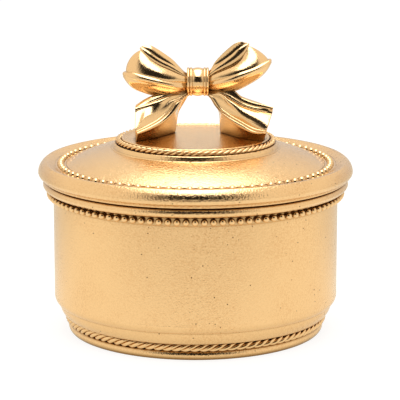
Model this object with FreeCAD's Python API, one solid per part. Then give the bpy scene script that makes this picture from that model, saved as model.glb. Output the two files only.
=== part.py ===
import FreeCAD, Part
import math
import os

# Round accessory box with a loose domed lid and a ribbon bow as its handle.
# Millimetres, +Z up, origin at the middle of the face that the foot stands on.
# The front of the bow faces -Y.

# Fits shared by several pieces
trim_clearance = 0.05       # rope and bead wires in their seats
lining_clearance = 0.1      # velvet and felt beside metal
mouth_clearance = 1.0       # loose fit of the lid's ring in the mouth
overrun = 1.0               # how far every cut passes through
full_turn = 360.0
quarter_bulge_share = 1 - math.sqrt(0.5)    # rise of a quarter circle's arc, per radius

# Drum wall and its rim
wall_radius = 54.3
wall_thickness = 3.0
wall_height = 47.6
wall_foot_draw_in = 1.4
wall_foot_round_height = 3.3
wall_foot_bulge = 0.5
rim_height = 3.7
rim_stand_out = 3.95
rim_neck_stand_out = 2.2
rim_top_round = 2.0
rim_side_bulge = 0.35

# Bead wire under the rim, on a small fillet
rim_bead_radius = 1.25
rim_bead_count = 106
rim_bead_drop = 1.75
rim_bead_wire = 0.7
fillet_height = 0.6
fillet_stand_out = 0.45

# Foot moulding
band_step = 0.5
band_draw_in = 1.8
band_height = 4.5
band_bulge = 0.5
foot_inset = 1.5
foot_height = 3.2
foot_edge_round = 0.7
foot_wall = 1.7
foot_rope_radius = 1.6
foot_rope_inset = 1.9

# Floor, felt and velvet
floor_thickness = 2.0
floor_ledge = 4.5
felt_thickness = 1.5
pad_thickness = 2.2
lining_thickness = 1.0
lining_drop = 6.4

# Lid shell
lid_overhang = 1.75
lid_edge_height = 5.8
lid_seat_round = 0.65
lid_band_height = 1.2
lid_band_stand_out = 0.5
lid_widest_height = 3.0
lid_border_width = 6.5
lid_side_bulge = 0.56
lid_crest_inset = 2.3
lid_crest_rise = 1.1
lid_crest_width = 1.2
lid_crest_bulge = 0.1
lid_groove_width = 4.2
lid_groove_depth = 0.6
lid_thickness = 2.2
dome_edge_rise = 0.1
dome_rise = 5.8
dome_bulge = 0.6
seat_width = 4.6

# Bead wire in the lid's groove
lid_bead_radius = 1.5
lid_bead_count = 84
lid_bead_lift = 0.2
lid_bead_wire = 0.6

# Ring and lining under the lid
ring_thickness = 1.8
ring_drop = 5.0
card_thickness = 2.0
card_drop = 1.4

# Plinth and its rope
plinth_radius = 31.5
plinth_margin = 0.9
plinth_riser = 1.75
plinth_flare = 0.6
plinth_batter = 0.35
plinth_edge_round = 0.5
plinth_edge_lift = 0.3
plinth_rope_radius = 1.1
plinth_rope_inset = 2.15
plate_rise = 2.1
plate_lip_height = 0.3
plate_lip_width = 1.1

# Bow knot, a ribbed collar on an X axis; the whole bow stands a little to the right
bow_shift = 0.9
knot_height = 21.2
knot_half_length = 4.15
knot_barrel_radius = 5.4
knot_valley_radius = 5.0
knot_rib_width = 1.05
knot_rib_height = 0.45
knot_bore_radius = 3.95
neck_clearance = 0.1
neck_gap = 0.3

# Bow loops, left then right: reach, rise of the middle line and lean of the outer end
bow_sides = (("left", -1), ("right", 1))
loop_reaches = (26.5, 24.6)
loop_rises = (8.2, 11.7)
loop_leans = (33.0, 52.0)
loop_half_heights = (8.7, 8.0)
loop_half_depth = 6.4
loop_points = 24
# One row per station: along the reach, up the rise, lean, half height, half depth, hem
loop_station_shares = (
    (0.22, 0.12, 0.34, 0.76, 0.80, 0.7),
    (0.56, 0.48, 0.56, 1.00, 1.00, 1.0),
    (0.82, 0.78, 0.84, 0.91, 0.92, 1.0),
    (0.95, 0.94, 0.97, 0.72, 0.62, 0.8),
    (1.00, 1.00, 1.00, 0.36, 0.28, 0.3),
)
# Hems and folds of a loop's front: turn from the front in degrees, half width in degrees, swell
loop_fold_shares = ((60.0, 9.0, 0.09), (-30.0, 9.0, 0.11), (15.0, 16.0, 0.03), (38.0, 8.0, -0.05))

# Bow tails, left then right; a drop is from the knot's axis down to a tail's top
tail_reaches = (23.3, 29.5)
tail_drops = (4.6, 4.0)
tail_slants = (-0.12, 0.28)
tail_depth = 12.5
tail_pleat = 0.7
tail_pleat_shares = (0.9, -0.6, 0.8)
# One row per station: outward, depth and height of a ribbon edge or foot line
tail_left_top_shares = (
    (0.00, -0.16, 1.00), (0.20, -0.16, 0.95), (0.38, -0.24, 0.99),
    (0.58, -0.31, 1.00), (0.80, -0.40, 0.91), (1.00, -0.50, 0.775),
)
tail_right_top_shares = (
    (0.00, -0.16, 1.00), (0.18, -0.18, 1.00), (0.36, -0.26, 0.98),
    (0.56, -0.34, 0.87), (0.77, -0.42, 0.78), (1.00, -0.50, 0.74),
)
tail_top_shares = (tail_left_top_shares, tail_right_top_shares)
tail_low_hem_shares = (
    (0.00, -0.20, 0.91), (0.117, -0.32, 0.86), (0.223, -0.48, 0.71),
    (0.384, -0.68, 0.52), (0.63, -0.84, 0.35), (1.00, -0.96, 0.17),
)
tail_inner_foot_shares = (
    (0.00, 0.12, 0.90), (0.055, 0.20, 0.77), (0.148, 0.40, 0.55),
    (0.24, 0.74, -0.05), (0.53, -0.06, -0.06), (1.00, -0.72, -0.06),
)
tail_outer_foot_shares = (
    (0.00, 0.18, 0.93), (0.14, 0.34, 0.80), (0.29, 0.56, 0.58),
    (0.43, 0.84, -0.05), (0.74, 0.30, -0.06), (1.00, -0.30, -0.06),
)
tail_back_shares = (
    (0.00, 0.16, 1.00), (0.20, 0.26, 0.90), (0.40, 0.25, 0.88),
    (0.60, 0.20, 0.82), (0.80, 0.05, 0.74), (1.00, -0.12, 0.60),
)

# Screws that hold the tails down through the lid
screw_radius = 1.5
screw_head_radius = 2.75
screw_head_height = 2.0
screw_depth_in_tail = 5.0
screw_hole_clearance = 0.2
washer_radius = 3.5
washer_thickness = 0.5
screw_place_shares = (0.637, 0.136, 0)

# Radii that follow from the wall
wall_bore_radius = wall_radius - wall_thickness
wall_foot_radius = wall_radius - wall_foot_draw_in
rim_radius = wall_radius + rim_stand_out
rim_neck_radius = wall_radius + rim_neck_stand_out
band_top_radius = wall_foot_radius - band_step
band_bottom_radius = band_top_radius - band_draw_in
foot_radius = band_bottom_radius - foot_inset
foot_rope_ring_radius = band_bottom_radius - foot_rope_inset
groove_radius = foot_rope_ring_radius - foot_rope_radius - trim_clearance
foot_bore_radius = groove_radius - foot_wall
floor_radius = foot_bore_radius + floor_ledge
lid_radius = rim_radius + lid_overhang
border_inner_radius = lid_radius - lid_border_width
dome_radius = border_inner_radius - lid_groove_width
lid_bead_ring_radius = (border_inner_radius + dome_radius) / 2
ring_radius = wall_bore_radius - mouth_clearance
ring_bore_radius = ring_radius - ring_thickness
plinth_rope_ring_radius = plinth_radius - plinth_rope_inset
plate_radius = plinth_rope_ring_radius - plinth_rope_radius - trim_clearance

# Heights that follow from the foot up
groove_top_z = foot_height + 2 * (foot_rope_radius + trim_clearance)
foot_rope_z = foot_height + foot_rope_radius + trim_clearance
shoulder_z = groove_top_z + band_height
floor_z = shoulder_z - floor_thickness
rim_top_z = shoulder_z + wall_height
rim_bottom_z = rim_top_z - rim_height
rim_bead_z = rim_bottom_z - rim_bead_drop
fillet_top_z = rim_bead_z - rim_bead_radius - trim_clearance
border_top_z = rim_top_z + lid_edge_height
lid_groove_z = border_top_z - lid_groove_depth
dome_edge_z = border_top_z + dome_edge_rise
dome_top_z = dome_edge_z + dome_rise
ceiling_z = lid_groove_z - lid_thickness
dome_ceiling_z = dome_top_z - lid_thickness
rope_ledge_z = dome_top_z + plinth_riser
plinth_rope_z = rope_ledge_z + plinth_rope_radius + trim_clearance
plate_z = rope_ledge_z + plate_rise
knot_z = plate_z + knot_height
tail_heights = tuple(knot_height - drop for drop in tail_drops)


def bowed(start, end, bulge):
    """An arc's middle point and end, bulging by the given height to the right of the way it goes."""
    run = (end[0] - start[0], end[1] - start[1])
    length = math.hypot(*run)
    middle = ((start[0] + end[0]) / 2, (start[1] + end[1]) / 2)
    through = (middle[0] + bulge * run[1] / length, middle[1] - bulge * run[0] / length)
    return through, end


def outline_face(place, start, steps):
    """A face inside a closed outline: a step is a point for a line, or a pair of points for an arc."""
    edges = []
    here = start
    for step in steps + (start,):
        if isinstance(step[0], tuple):
            through, there = step
            edges.append(Part.Arc(place(*here), place(*through), place(*there)).toShape())
        else:
            there = step
            edges.append(Part.LineSegment(place(*here), place(*there)).toShape())
        here = there
    return Part.Face(Part.Wire(edges))


def turned(start, *steps):
    """A solid turned about the Z axis from an outline of (radius, height) points."""
    face = outline_face(lambda radius, height: FreeCAD.Vector(radius, 0, height), start, steps)
    return face.revolve(FreeCAD.Vector(), FreeCAD.Vector(0, 0, 1), full_turn)


def tube(inner_radius, outer_radius, low_z, high_z):
    """A plain ring of rectangular section."""
    return turned((inner_radius, low_z), (outer_radius, low_z),
                  (outer_radius, high_z), (inner_radius, high_z))


def disc(radius, low_z, high_z, x=0, y=0):
    """A round plate or post."""
    return Part.makeCylinder(radius, high_z - low_z, FreeCAD.Vector(x, y, low_z))


def bead_ring(wire, bead_radius, ring_radius, height, count):
    """A wire ring with round beads fused on at even steps, all turned alike to face outward."""
    beads = []
    for step in range(count):
        bead = Part.makeSphere(bead_radius, FreeCAD.Vector(ring_radius, 0, height))
        bead.rotate(FreeCAD.Vector(), FreeCAD.Vector(0, 0, 1), full_turn * (step + 0.5) / count)
        beads.append(bead)
    return wire.multiFuse(beads)


def rope_ring(ring_radius, rope_radius, height):
    """The round envelope of a twisted rope wire."""
    return Part.makeTorus(ring_radius, rope_radius, FreeCAD.Vector(0, 0, height))


def box_wall():
    """Straight drum wall, drawn in at its foot, with a fillet and a rounded rim at its mouth."""
    fillet_low_z = fillet_top_z - fillet_height
    fillet_radius = wall_radius + fillet_stand_out
    rim_side = (rim_radius, rim_top_z - rim_top_round)
    rim_edge = (rim_radius - rim_top_round, rim_top_z)
    foot = (wall_foot_radius, shoulder_z)
    neck = (rim_neck_radius, rim_bottom_z)
    return turned(
        (wall_bore_radius, shoulder_z),
        foot,
        bowed(foot, (wall_radius, shoulder_z + wall_foot_round_height), wall_foot_bulge),
        (wall_radius, fillet_low_z),
        (fillet_radius, (fillet_low_z + fillet_top_z) / 2),
        (fillet_radius, fillet_top_z),
        (wall_radius, fillet_top_z),
        (wall_radius, rim_bottom_z),
        neck,
        bowed(neck, rim_side, rim_side_bulge),
        bowed(rim_side, rim_edge, rim_top_round * quarter_bulge_share),
        (wall_bore_radius, rim_top_z),
    )


def foot_moulding():
    """Foot bead, square groove for the rope and a quarter-round band, with a ledge for the floor inside."""
    edge_radius = foot_radius - foot_edge_round
    band_foot = (band_bottom_radius, groove_top_z)
    return turned(
        (foot_bore_radius, 0),
        (edge_radius, 0),
        ((foot_radius, foot_height / 2), (edge_radius, foot_height)),
        (groove_radius, foot_height),
        (groove_radius, groove_top_z),
        band_foot,
        bowed(band_foot, (band_top_radius, shoulder_z), band_bulge),
        (floor_radius + trim_clearance, shoulder_z),
        (floor_radius + trim_clearance, floor_z),
        (foot_bore_radius, floor_z),
    )


def rim_bead_band():
    """Bead wire soldered to the wall just under the rim."""
    wire = tube(wall_radius + trim_clearance, wall_radius + rim_bead_wire,
                rim_bead_z - rim_bead_radius, rim_bead_z + rim_bead_radius)
    ring_radius = wall_radius + 2 * trim_clearance + rim_bead_radius
    return bead_ring(wire, rim_bead_radius, ring_radius, rim_bead_z, rim_bead_count)


def lid_shell(screw_places):
    """Domed shell with a rounded edge, a bead groove, a flat land for the plinth and a hollow underside."""
    seat = (rim_radius - lid_seat_round, rim_top_z)
    band_low = (rim_radius, rim_top_z + lid_seat_round)
    band_high = (rim_radius + lid_band_stand_out, rim_top_z + lid_band_height)
    widest = (lid_radius, rim_top_z + lid_widest_height)
    crest = (lid_radius - lid_crest_inset, border_top_z + lid_crest_rise)
    crest_end = (crest[0] - lid_crest_width, crest[1])
    dome_edge = (dome_radius, dome_edge_z)
    land = (plinth_radius + plinth_margin, dome_top_z)
    seat_inner_radius = seat[0] - seat_width
    hollow_edge = (ring_bore_radius, ceiling_z)
    shell = turned(
        (0, dome_ceiling_z),
        (land[0], dome_ceiling_z),
        bowed((land[0], dome_ceiling_z), hollow_edge, -dome_bulge),
        (seat_inner_radius, ceiling_z),
        (seat_inner_radius, rim_top_z),
        seat,
        bowed(seat, band_low, lid_seat_round * quarter_bulge_share),
        band_high,
        bowed(band_high, widest, rim_side_bulge),
        bowed(widest, crest, lid_side_bulge),
        bowed(crest, crest_end, lid_crest_bulge),
        (border_inner_radius, border_top_z),
        (border_inner_radius, lid_groove_z),
        (dome_radius, lid_groove_z),
        dome_edge,
        bowed(dome_edge, land, dome_bulge),
        (0, dome_top_z),
    )
    return drilled(shell, screw_places, dome_ceiling_z, dome_top_z)


def lid_bead_border():
    """Bead wire lying in the lid's groove."""
    half_wire = lid_groove_width / 2 - trim_clearance
    wire = tube(lid_bead_ring_radius - half_wire, lid_bead_ring_radius + half_wire,
                lid_groove_z, lid_groove_z + lid_bead_wire - trim_clearance)
    beads = bead_ring(wire, lid_bead_radius, lid_bead_ring_radius,
                      lid_groove_z + lid_bead_lift, lid_bead_count)
    floor = tube(dome_radius, border_inner_radius, lid_groove_z - lid_bead_radius, lid_groove_z)
    return beads.cut(floor)


def lid_plinth(screw_places):
    """Stepped plinth: flared riser, ledge for the rope and a plate with a raised lip."""
    foot = (plinth_radius + plinth_flare, dome_top_z)
    edge = (plinth_radius - plinth_batter, rope_ledge_z)
    edge_top = (edge[0] - plinth_edge_round, rope_ledge_z + plinth_edge_lift)
    lip = (plate_radius - plate_lip_width, plate_z)
    plinth = turned(
        (0, dome_top_z),
        foot,
        bowed(foot, (plinth_radius, dome_top_z + plinth_flare), -plinth_flare * quarter_bulge_share),
        edge,
        bowed(edge, edge_top, plinth_edge_lift * quarter_bulge_share),
        (edge_top[0], rope_ledge_z),
        (plate_radius, rope_ledge_z),
        (plate_radius, plate_z),
        bowed((plate_radius, plate_z), lip, plate_lip_height),
        (0, plate_z),
    )
    return drilled(plinth, screw_places, dome_top_z, plate_z)


def bow_knot():
    """Hollow collar with two ribs at each end and a barrel between them."""
    ends = []
    for rib in range(3):
        ends.append((knot_half_length - rib * knot_rib_width, knot_valley_radius))
    barrel_bulge = knot_barrel_radius - knot_valley_radius
    steps = [(knot_half_length, knot_bore_radius), ends[0]]
    for rib in range(2):
        steps.append(bowed(ends[rib], ends[rib + 1], knot_rib_height))
    mirrored = [(-x, radius) for x, radius in reversed(ends)]
    steps.append(bowed(ends[-1], mirrored[0], barrel_bulge))
    for rib in range(2):
        steps.append(bowed(mirrored[rib], mirrored[rib + 1], knot_rib_height))
    face = outline_face(lambda x, radius: FreeCAD.Vector(x, 0, knot_z + radius),
                        (-knot_half_length, knot_bore_radius), tuple(steps))
    return face.revolve(FreeCAD.Vector(0, 0, knot_z), FreeCAD.Vector(1, 0, 0), full_turn)


def fold_swell(turn, hem_share):
    """How far a loop's skin swells at a turn from its front, from its hems and folds."""
    swell = 0
    for centre, width, share in loop_fold_shares:
        swell += share * math.exp(-((math.degrees(turn) - centre) / width) ** 2)
    return 1 + hem_share * swell


def loop_section(side, x, z, lean, half_height, half_depth, hem_share):
    """A closed smooth section of a loop, leaning in the XZ plane."""
    up = FreeCAD.Vector(-side * math.sin(lean), 0, math.cos(lean))
    front = FreeCAD.Vector(0, -1, 0)
    points = []
    for step in range(loop_points):
        turn = 2 * math.pi * step / loop_points - math.pi
        swell = fold_swell(turn, hem_share)
        rise = half_height * math.sin(turn) * swell
        reach = half_depth * math.cos(turn) * swell
        points.append(FreeCAD.Vector(side * x, 0, z) + up * rise + front * reach)
    curve = Part.BSplineCurve()
    curve.interpolate(Points=points, PeriodicFlag=True)
    return Part.Wire(curve.toShape())


def bow_loop(side, reach, rise, lean, half_height):
    """A closed puffed ribbon loop whose neck enters the knot."""
    neck_radius = knot_bore_radius - neck_clearance
    sections = []
    for x in (neck_gap, knot_half_length):
        sections.append(loop_section(side, x, knot_z, 0, neck_radius, neck_radius, 0))
    for along, up, lean_share, high, deep, hem in loop_station_shares:
        x = knot_half_length + along * (reach - knot_half_length)
        sections.append(loop_section(side, x, knot_z + up * rise, math.radians(lean_share * lean),
                                     high * half_height, deep * loop_half_depth, hem))
    return Part.makeLoft(sections, True, False)


def tail_point(side, reach, height, slant, share):
    """A point of a tail from its shares of the reach, the depth and the height."""
    outward, depth, up = share
    full_reach = reach - slant * height * (1 - up)
    x = knot_half_length + outward * (full_reach - knot_half_length)
    return FreeCAD.Vector(side * x, depth * tail_depth, plate_z + up * height)


def spline_edge(points):
    """A smooth open curve through the points."""
    curve = Part.BSplineCurve()
    curve.interpolate(Points=points)
    return curve.toShape()


def tail_section(top_hem, low_hem, inner_foot, outer_foot, back, pleat):
    """One closed section of a tail: pleated front, inner side, underside and back."""
    across = low_hem - top_hem
    face_normal = (low_hem + top_hem - inner_foot - back).normalize()
    front = [top_hem]
    for step, share in enumerate(tail_pleat_shares):
        on_chord = top_hem + across * ((step + 1) / (len(tail_pleat_shares) + 1))
        front.append(on_chord + face_normal * pleat * share)
    front.append(low_hem)
    return Part.Wire([
        spline_edge(front),
        Part.LineSegment(low_hem, inner_foot).toShape(),
        Part.LineSegment(inner_foot, outer_foot).toShape(),
        spline_edge([outer_foot, back, top_hem]),
    ])


def bow_tail(side, reach, height, slant, top_shares, screw_place, loop):
    """A fan-shaped tail from the knot's end face down to the plinth's plate, seated under its loop."""
    lines = (top_shares, tail_low_hem_shares, tail_inner_foot_shares,
             tail_outer_foot_shares, tail_back_shares)
    sections = []
    for station, shares in enumerate(zip(*lines)):
        points = [tail_point(side, reach, height, slant, share) for share in shares]
        pleat = tail_pleat * station / (len(top_shares) - 1)
        sections.append(tail_section(*points, pleat))
    fan = Part.makeLoft(sections, True, False)
    below = disc(plinth_radius, dome_top_z, plate_z)
    hole = disc(screw_radius + trim_clearance, plate_z - overrun,
                plate_z + screw_depth_in_tail + trim_clearance, *screw_place)
    return fan.cut([below, hole, loop])


def screw_places():
    """Where the screws stand on the plate, under the middle of each tail's foot."""
    places = []
    for (name, side), reach, height, slant in zip(bow_sides, tail_reaches, tail_heights, tail_slants):
        place = tail_point(side, reach, height, slant, screw_place_shares)
        places.append((place.x, place.y))
    return places


def drilled(solid, places, low_z, high_z):
    """The solid with a clearance hole for each screw."""
    for x, y in places:
        solid = solid.cut(disc(screw_radius + screw_hole_clearance,
                               low_z - overrun, high_z + overrun, x, y))
    return solid


def bow_screws(places):
    """Two screws with flat heads under the washers."""
    screws = []
    head_top_z = dome_ceiling_z - washer_thickness
    for x, y in places:
        head = disc(screw_head_radius, head_top_z - screw_head_height, head_top_z, x, y)
        shank = disc(screw_radius, head_top_z, plate_z + screw_depth_in_tail, x, y)
        screws.append(head.fuse(shank))
    return Part.makeCompound(screws)


def bow_washers(places):
    """A washer under each screw head."""
    washers = []
    for x, y in places:
        plate = disc(washer_radius, dome_ceiling_z - washer_thickness, dome_ceiling_z, x, y)
        hole = disc(screw_radius + screw_hole_clearance, dome_ceiling_z - washer_thickness - overrun,
                    dome_ceiling_z + overrun, x, y)
        washers.append(plate.cut(hole))
    return Part.makeCompound(washers)


def build():
    """All pieces by node name."""
    bow_places = screw_places()
    places = [(x + bow_shift, y) for x, y in bow_places]
    pad_top_z = shoulder_z + pad_thickness
    card_top_z = rim_top_z - card_drop
    to_side = FreeCAD.Vector(bow_shift, 0, 0)
    pieces = {
        "box_wall": box_wall(),
        "foot_moulding": foot_moulding(),
        "foot_rope": rope_ring(foot_rope_ring_radius, foot_rope_radius, foot_rope_z),
        "rim_bead_band": rim_bead_band(),
        "box_floor": disc(floor_radius, floor_z, shoulder_z),
        "base_felt": disc(foot_bore_radius - lining_clearance, floor_z - felt_thickness, floor_z),
        "floor_pad": disc(wall_bore_radius - lining_clearance, shoulder_z, pad_top_z),
        "wall_lining": tube(wall_bore_radius - lining_clearance - lining_thickness,
                            wall_bore_radius - lining_clearance,
                            pad_top_z + lining_clearance, rim_top_z - lining_drop),
        "lid_shell": lid_shell(places),
        "lid_locating_ring": tube(ring_bore_radius, ring_radius, rim_top_z - ring_drop, ceiling_z),
        "lid_bead_border": lid_bead_border(),
        "lid_plinth": lid_plinth(places),
        "plinth_rope": rope_ring(plinth_rope_ring_radius, plinth_rope_radius, plinth_rope_z),
        "bow_knot": bow_knot().translated(to_side),
        "bow_screws": bow_screws(places),
        "bow_washers": bow_washers(places),
        "lid_lining": disc(ring_bore_radius - lining_clearance, card_top_z - card_thickness, card_top_z),
    }
    for index, (name, side) in enumerate(bow_sides):
        loop = bow_loop(side, loop_reaches[index], loop_rises[index],
                        loop_leans[index], loop_half_heights[index])
        tail = bow_tail(side, tail_reaches[index], tail_heights[index], tail_slants[index],
                        tail_top_shares[index], bow_places[index], loop)
        pieces["bow_" + name + "_loop"] = loop.translated(to_side)
        pieces["bow_" + name + "_tail"] = tail.translated(to_side)
    return pieces


os.makedirs("parts", exist_ok=True)
for node, shape in build().items():
    shape.exportStep("parts/" + node + ".step")
    print(node, "solids", len(shape.Solids), "valid", shape.isValid(), "volume", round(shape.Volume, 1))
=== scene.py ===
"""Dress of a round gilt accessory box: satin drum and lid, bead and rope trims, a polished ribbon bow,
ivory velvet linings and a felt base, standing on a white studio table."""

import logging
import math
from dataclasses import dataclass
from enum import Enum

import bmesh
import bpy
import numpy as np
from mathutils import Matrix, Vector


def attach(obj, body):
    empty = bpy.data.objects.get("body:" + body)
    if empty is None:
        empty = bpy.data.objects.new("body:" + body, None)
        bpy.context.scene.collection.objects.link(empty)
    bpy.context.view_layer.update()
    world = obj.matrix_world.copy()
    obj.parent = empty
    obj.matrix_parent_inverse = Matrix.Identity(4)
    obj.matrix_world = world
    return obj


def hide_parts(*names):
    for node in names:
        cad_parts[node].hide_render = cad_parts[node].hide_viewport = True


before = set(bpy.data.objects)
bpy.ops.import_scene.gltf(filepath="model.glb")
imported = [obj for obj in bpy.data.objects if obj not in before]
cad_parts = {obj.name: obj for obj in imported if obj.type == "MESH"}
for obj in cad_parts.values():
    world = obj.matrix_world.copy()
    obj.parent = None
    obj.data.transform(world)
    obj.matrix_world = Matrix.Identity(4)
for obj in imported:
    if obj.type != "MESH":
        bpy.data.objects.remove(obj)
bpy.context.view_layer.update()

MM = 0.001
WELD_MM = 0.001
TINY = 1e-6
FULL_TURN = 2 * math.pi
WHITE = (1.0, 1.0, 1.0, 1.0)
LOG = logging.getLogger("accessory_box")

Tree = bpy.types.NodeTree
Socket = bpy.types.NodeSocket
Material = bpy.types.Material
Colour = tuple[float, float, float, float]
Span = tuple[float, float]


class Body(Enum):
    """The two bodies that pieces ride on."""

    BOX = "box"
    LID = "lid"


class Slot(Enum):
    """Slots for the finishes of pieces that are made here."""

    GILT_TRIM = "gilt_trim"
    GILT_POLISHED = "gilt_polished"
    VELVET = "velvet"
    FELT = "felt"


def linear(hex_colour: str) -> Colour:
    """Turns an sRGB hex colour to linear light.

    Args:
        hex_colour: Six hex digits.

    Returns:
        Red, green, blue and alpha from 0 to 1.
    """
    channels = [int(hex_colour[start:start + 2], 16) / 255 for start in (0, 2, 4)]
    levels = [c / 12.92 if c <= 0.04045 else ((c + 0.055) / 1.055) ** 2.4 for c in channels]
    return levels[0], levels[1], levels[2], 1.0


def add_node(tree: Tree, kind: str, inputs: dict | None = None, **settings: object) -> bpy.types.Node:
    """Adds a node with its settings and links.

    A mix node has its factor at input 0, values at 2 and 3 and colours at 6 and 7. Its mixed value is
    output 0 and its mixed colour output 2.

    Args:
        tree: The node tree that gets the node.
        kind: Blender's name for the node type.
        inputs: Input name or number to a plain value, or to an output socket to link.
        settings: Properties of the node itself.

    Returns:
        The new node.
    """
    node = tree.nodes.new(kind)
    for key, value in settings.items():
        setattr(node, key, value)
    for key, value in (inputs or {}).items():
        if isinstance(value, Socket):
            tree.links.new(value, node.inputs[key])
        else:
            node.inputs[key].default_value = value
    return node


def new_material(name: str) -> tuple[Material, Tree, Socket]:
    """Starts a node material.

    Args:
        name: The finish's name.

    Returns:
        The material, its emptied tree, and the piece's own coordinates in millimetres.
    """
    material = bpy.data.materials.new(name)
    material.use_nodes = True
    tree = material.node_tree
    tree.nodes.clear()
    place = add_node(tree, "ShaderNodeTexCoord")
    millimetres = add_node(tree, "ShaderNodeVectorMath", {
        0: place.outputs["Object"], "Scale": 1 / MM}, operation="SCALE")
    return material, tree, millimetres.outputs["Vector"]


@dataclass(frozen=True)
class GiltBrass:
    """Gold-plated cast brass: a mirror-like pale gold whose casting grain breaks up the edges of reflections.

    The grain and the shallow waves come from the cast skin under the plating. The pits are pin holes that
    hold dark residue. Creases, and gaps between parts, get brown painted shade by how enclosed they are.
    """

    name: str
    gold: str = "F2CE9C"
    warm: str = "DCAE7A"
    pit: str = "4A2E14"
    # Colour of the painted shade in creases and gaps
    crease_shade: str = "7A551F"
    roughness_low: float = 0.07
    roughness_high: float = 0.17
    # A cast skin's grain is about 0.2 mm across; it is drawn at 0.6 mm so that it shows.
    grain_mm: float = 0.6
    grain_depth_mm: float = 0.12
    wave_mm: float = 7.0
    wave_depth_mm: float = 0.03
    mottle_mm: float = 0.65
    mottle_share: float = 0.85
    calm_mottle_share: float = 0.35
    pit_gap_mm: float = 2.2
    pit_mm: float = 0.65
    pit_cluster_mm: float = 16.0
    pit_share: float = 0.75
    lone_pit_share: float = 0.06
    pit_floor_share: float = 0.35
    pit_depth_share: float = 0.3
    pit_stain_share: float = 0.85
    # Reach and strength of the painted crease shade
    crease_mm: float = 2.2
    crease_share: float = 0.85
    # Where a noise from 0 to 1 starts and ends each change
    patch_span: Span = (0.36, 0.64)
    blotch_span: Span = (0.42, 0.72)
    cluster_span: Span = (0.42, 0.72)
    gloss_span: Span = (0.3, 0.7)
    # How open a point is where the painted crease shade starts and where it is full
    crease_span: Span = (0.90, 0.40)

    def material(self) -> Material:
        """Builds the node material.

        Returns:
            The gilt material.
        """
        material, tree, place = new_material(self.name)
        mottle = add_node(tree, "ShaderNodeTexNoise", {
            "Vector": place, "Scale": 1 / self.mottle_mm, "Detail": 4.0, "Roughness": 0.65})
        cluster = add_node(tree, "ShaderNodeTexNoise", {"Vector": place, "Scale": 1 / self.pit_cluster_mm})
        pits = self.pits(tree, place, cluster.outputs["Fac"])
        colour = self.colour(tree, mottle.outputs["Fac"], cluster.outputs["Fac"], pits)
        start, full = self.gloss_span
        gloss = add_node(tree, "ShaderNodeMapRange", {
            "Value": mottle.outputs["Fac"], "From Min": start, "From Max": full,
            "To Min": self.roughness_low, "To Max": self.roughness_high})
        shader = add_node(tree, "ShaderNodeBsdfPrincipled", {
            "Base Color": colour, "Metallic": 1.0, "Roughness": gloss.outputs["Result"],
            "Normal": self.relief(tree, place, pits)})
        add_node(tree, "ShaderNodeOutputMaterial", {"Surface": shader.outputs["BSDF"]})
        return material

    def pits(self, tree: Tree, place: Socket, cluster: Socket) -> Socket:
        """Scatters pin holes, most of them in clusters.

        Args:
            tree: The material's tree.
            place: The piece's coordinates in millimetres.
            cluster: Broad noise that is high where pits gather.

        Returns:
            1 on a pit's floor and 0 outside pits.
        """
        cells = add_node(tree, "ShaderNodeTexVoronoi", {"Vector": place, "Scale": 1 / self.pit_gap_mm})
        draw = add_node(tree, "ShaderNodeSeparateColor", {"Color": cells.outputs["Color"]})
        start, full = self.cluster_span
        share = add_node(tree, "ShaderNodeMapRange", {
            "Value": cluster, "From Min": start, "From Max": full,
            "To Min": self.lone_pit_share * self.pit_share, "To Max": self.pit_share})
        chosen = add_node(tree, "ShaderNodeMath", {
            0: draw.outputs["Red"], 1: share.outputs["Result"]}, operation="LESS_THAN")
        reach = self.pit_mm / 2 / self.pit_gap_mm
        hollow = add_node(tree, "ShaderNodeMapRange", {
            "Value": cells.outputs["Distance"], "From Min": reach,
            "From Max": reach * self.pit_floor_share})
        pits = add_node(tree, "ShaderNodeMath", {
            0: chosen.outputs["Value"], 1: hollow.outputs["Result"]}, operation="MULTIPLY")
        return pits.outputs["Value"]

    def colour(self, tree: Tree, mottle: Socket, cluster: Socket, pits: Socket) -> Socket:
        """Mottles the gold, darkens its pits and paints brown shade into its creases.

        Args:
            tree: The material's tree.
            mottle: Fine noise.
            cluster: Broad noise that is high where the mottle is busy.
            pits: 1 on a pit's floor and 0 outside pits.

        Returns:
            The colour.
        """
        start, full = self.patch_span
        busy = add_node(tree, "ShaderNodeMapRange", {
            "Value": cluster, "From Min": start, "From Max": full,
            "To Min": self.calm_mottle_share * self.mottle_share, "To Max": self.mottle_share})
        start, full = self.blotch_span
        blotch = add_node(tree, "ShaderNodeMapRange", {
            "Value": mottle, "From Min": start, "From Max": full, "To Max": busy.outputs["Result"]})
        tone = add_node(tree, "ShaderNodeMix", {
            0: blotch.outputs["Result"], 6: linear(self.gold), 7: linear(self.warm)}, data_type="RGBA")
        stain = add_node(tree, "ShaderNodeMath", {0: pits, 1: self.pit_stain_share}, operation="MULTIPLY")
        specked = add_node(tree, "ShaderNodeMix", {
            0: stain.outputs["Value"], 6: tone.outputs[2], 7: linear(self.pit)}, data_type="RGBA")
        # Painted shade: the more enclosed a point is, the browner it is painted
        openness = add_node(tree, "ShaderNodeAmbientOcclusion", {
            "Distance": self.crease_mm * MM}, samples=8)
        start, full = self.crease_span
        crease = add_node(tree, "ShaderNodeMapRange", {
            "Value": openness.outputs["AO"], "From Min": start, "From Max": full,
            "To Max": self.crease_share})
        crease_shaded = add_node(tree, "ShaderNodeMix", {
            0: crease.outputs["Result"], 6: specked.outputs[2], 7: linear(self.crease_shade)}, data_type="RGBA")
        return crease_shaded.outputs[2]

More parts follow.
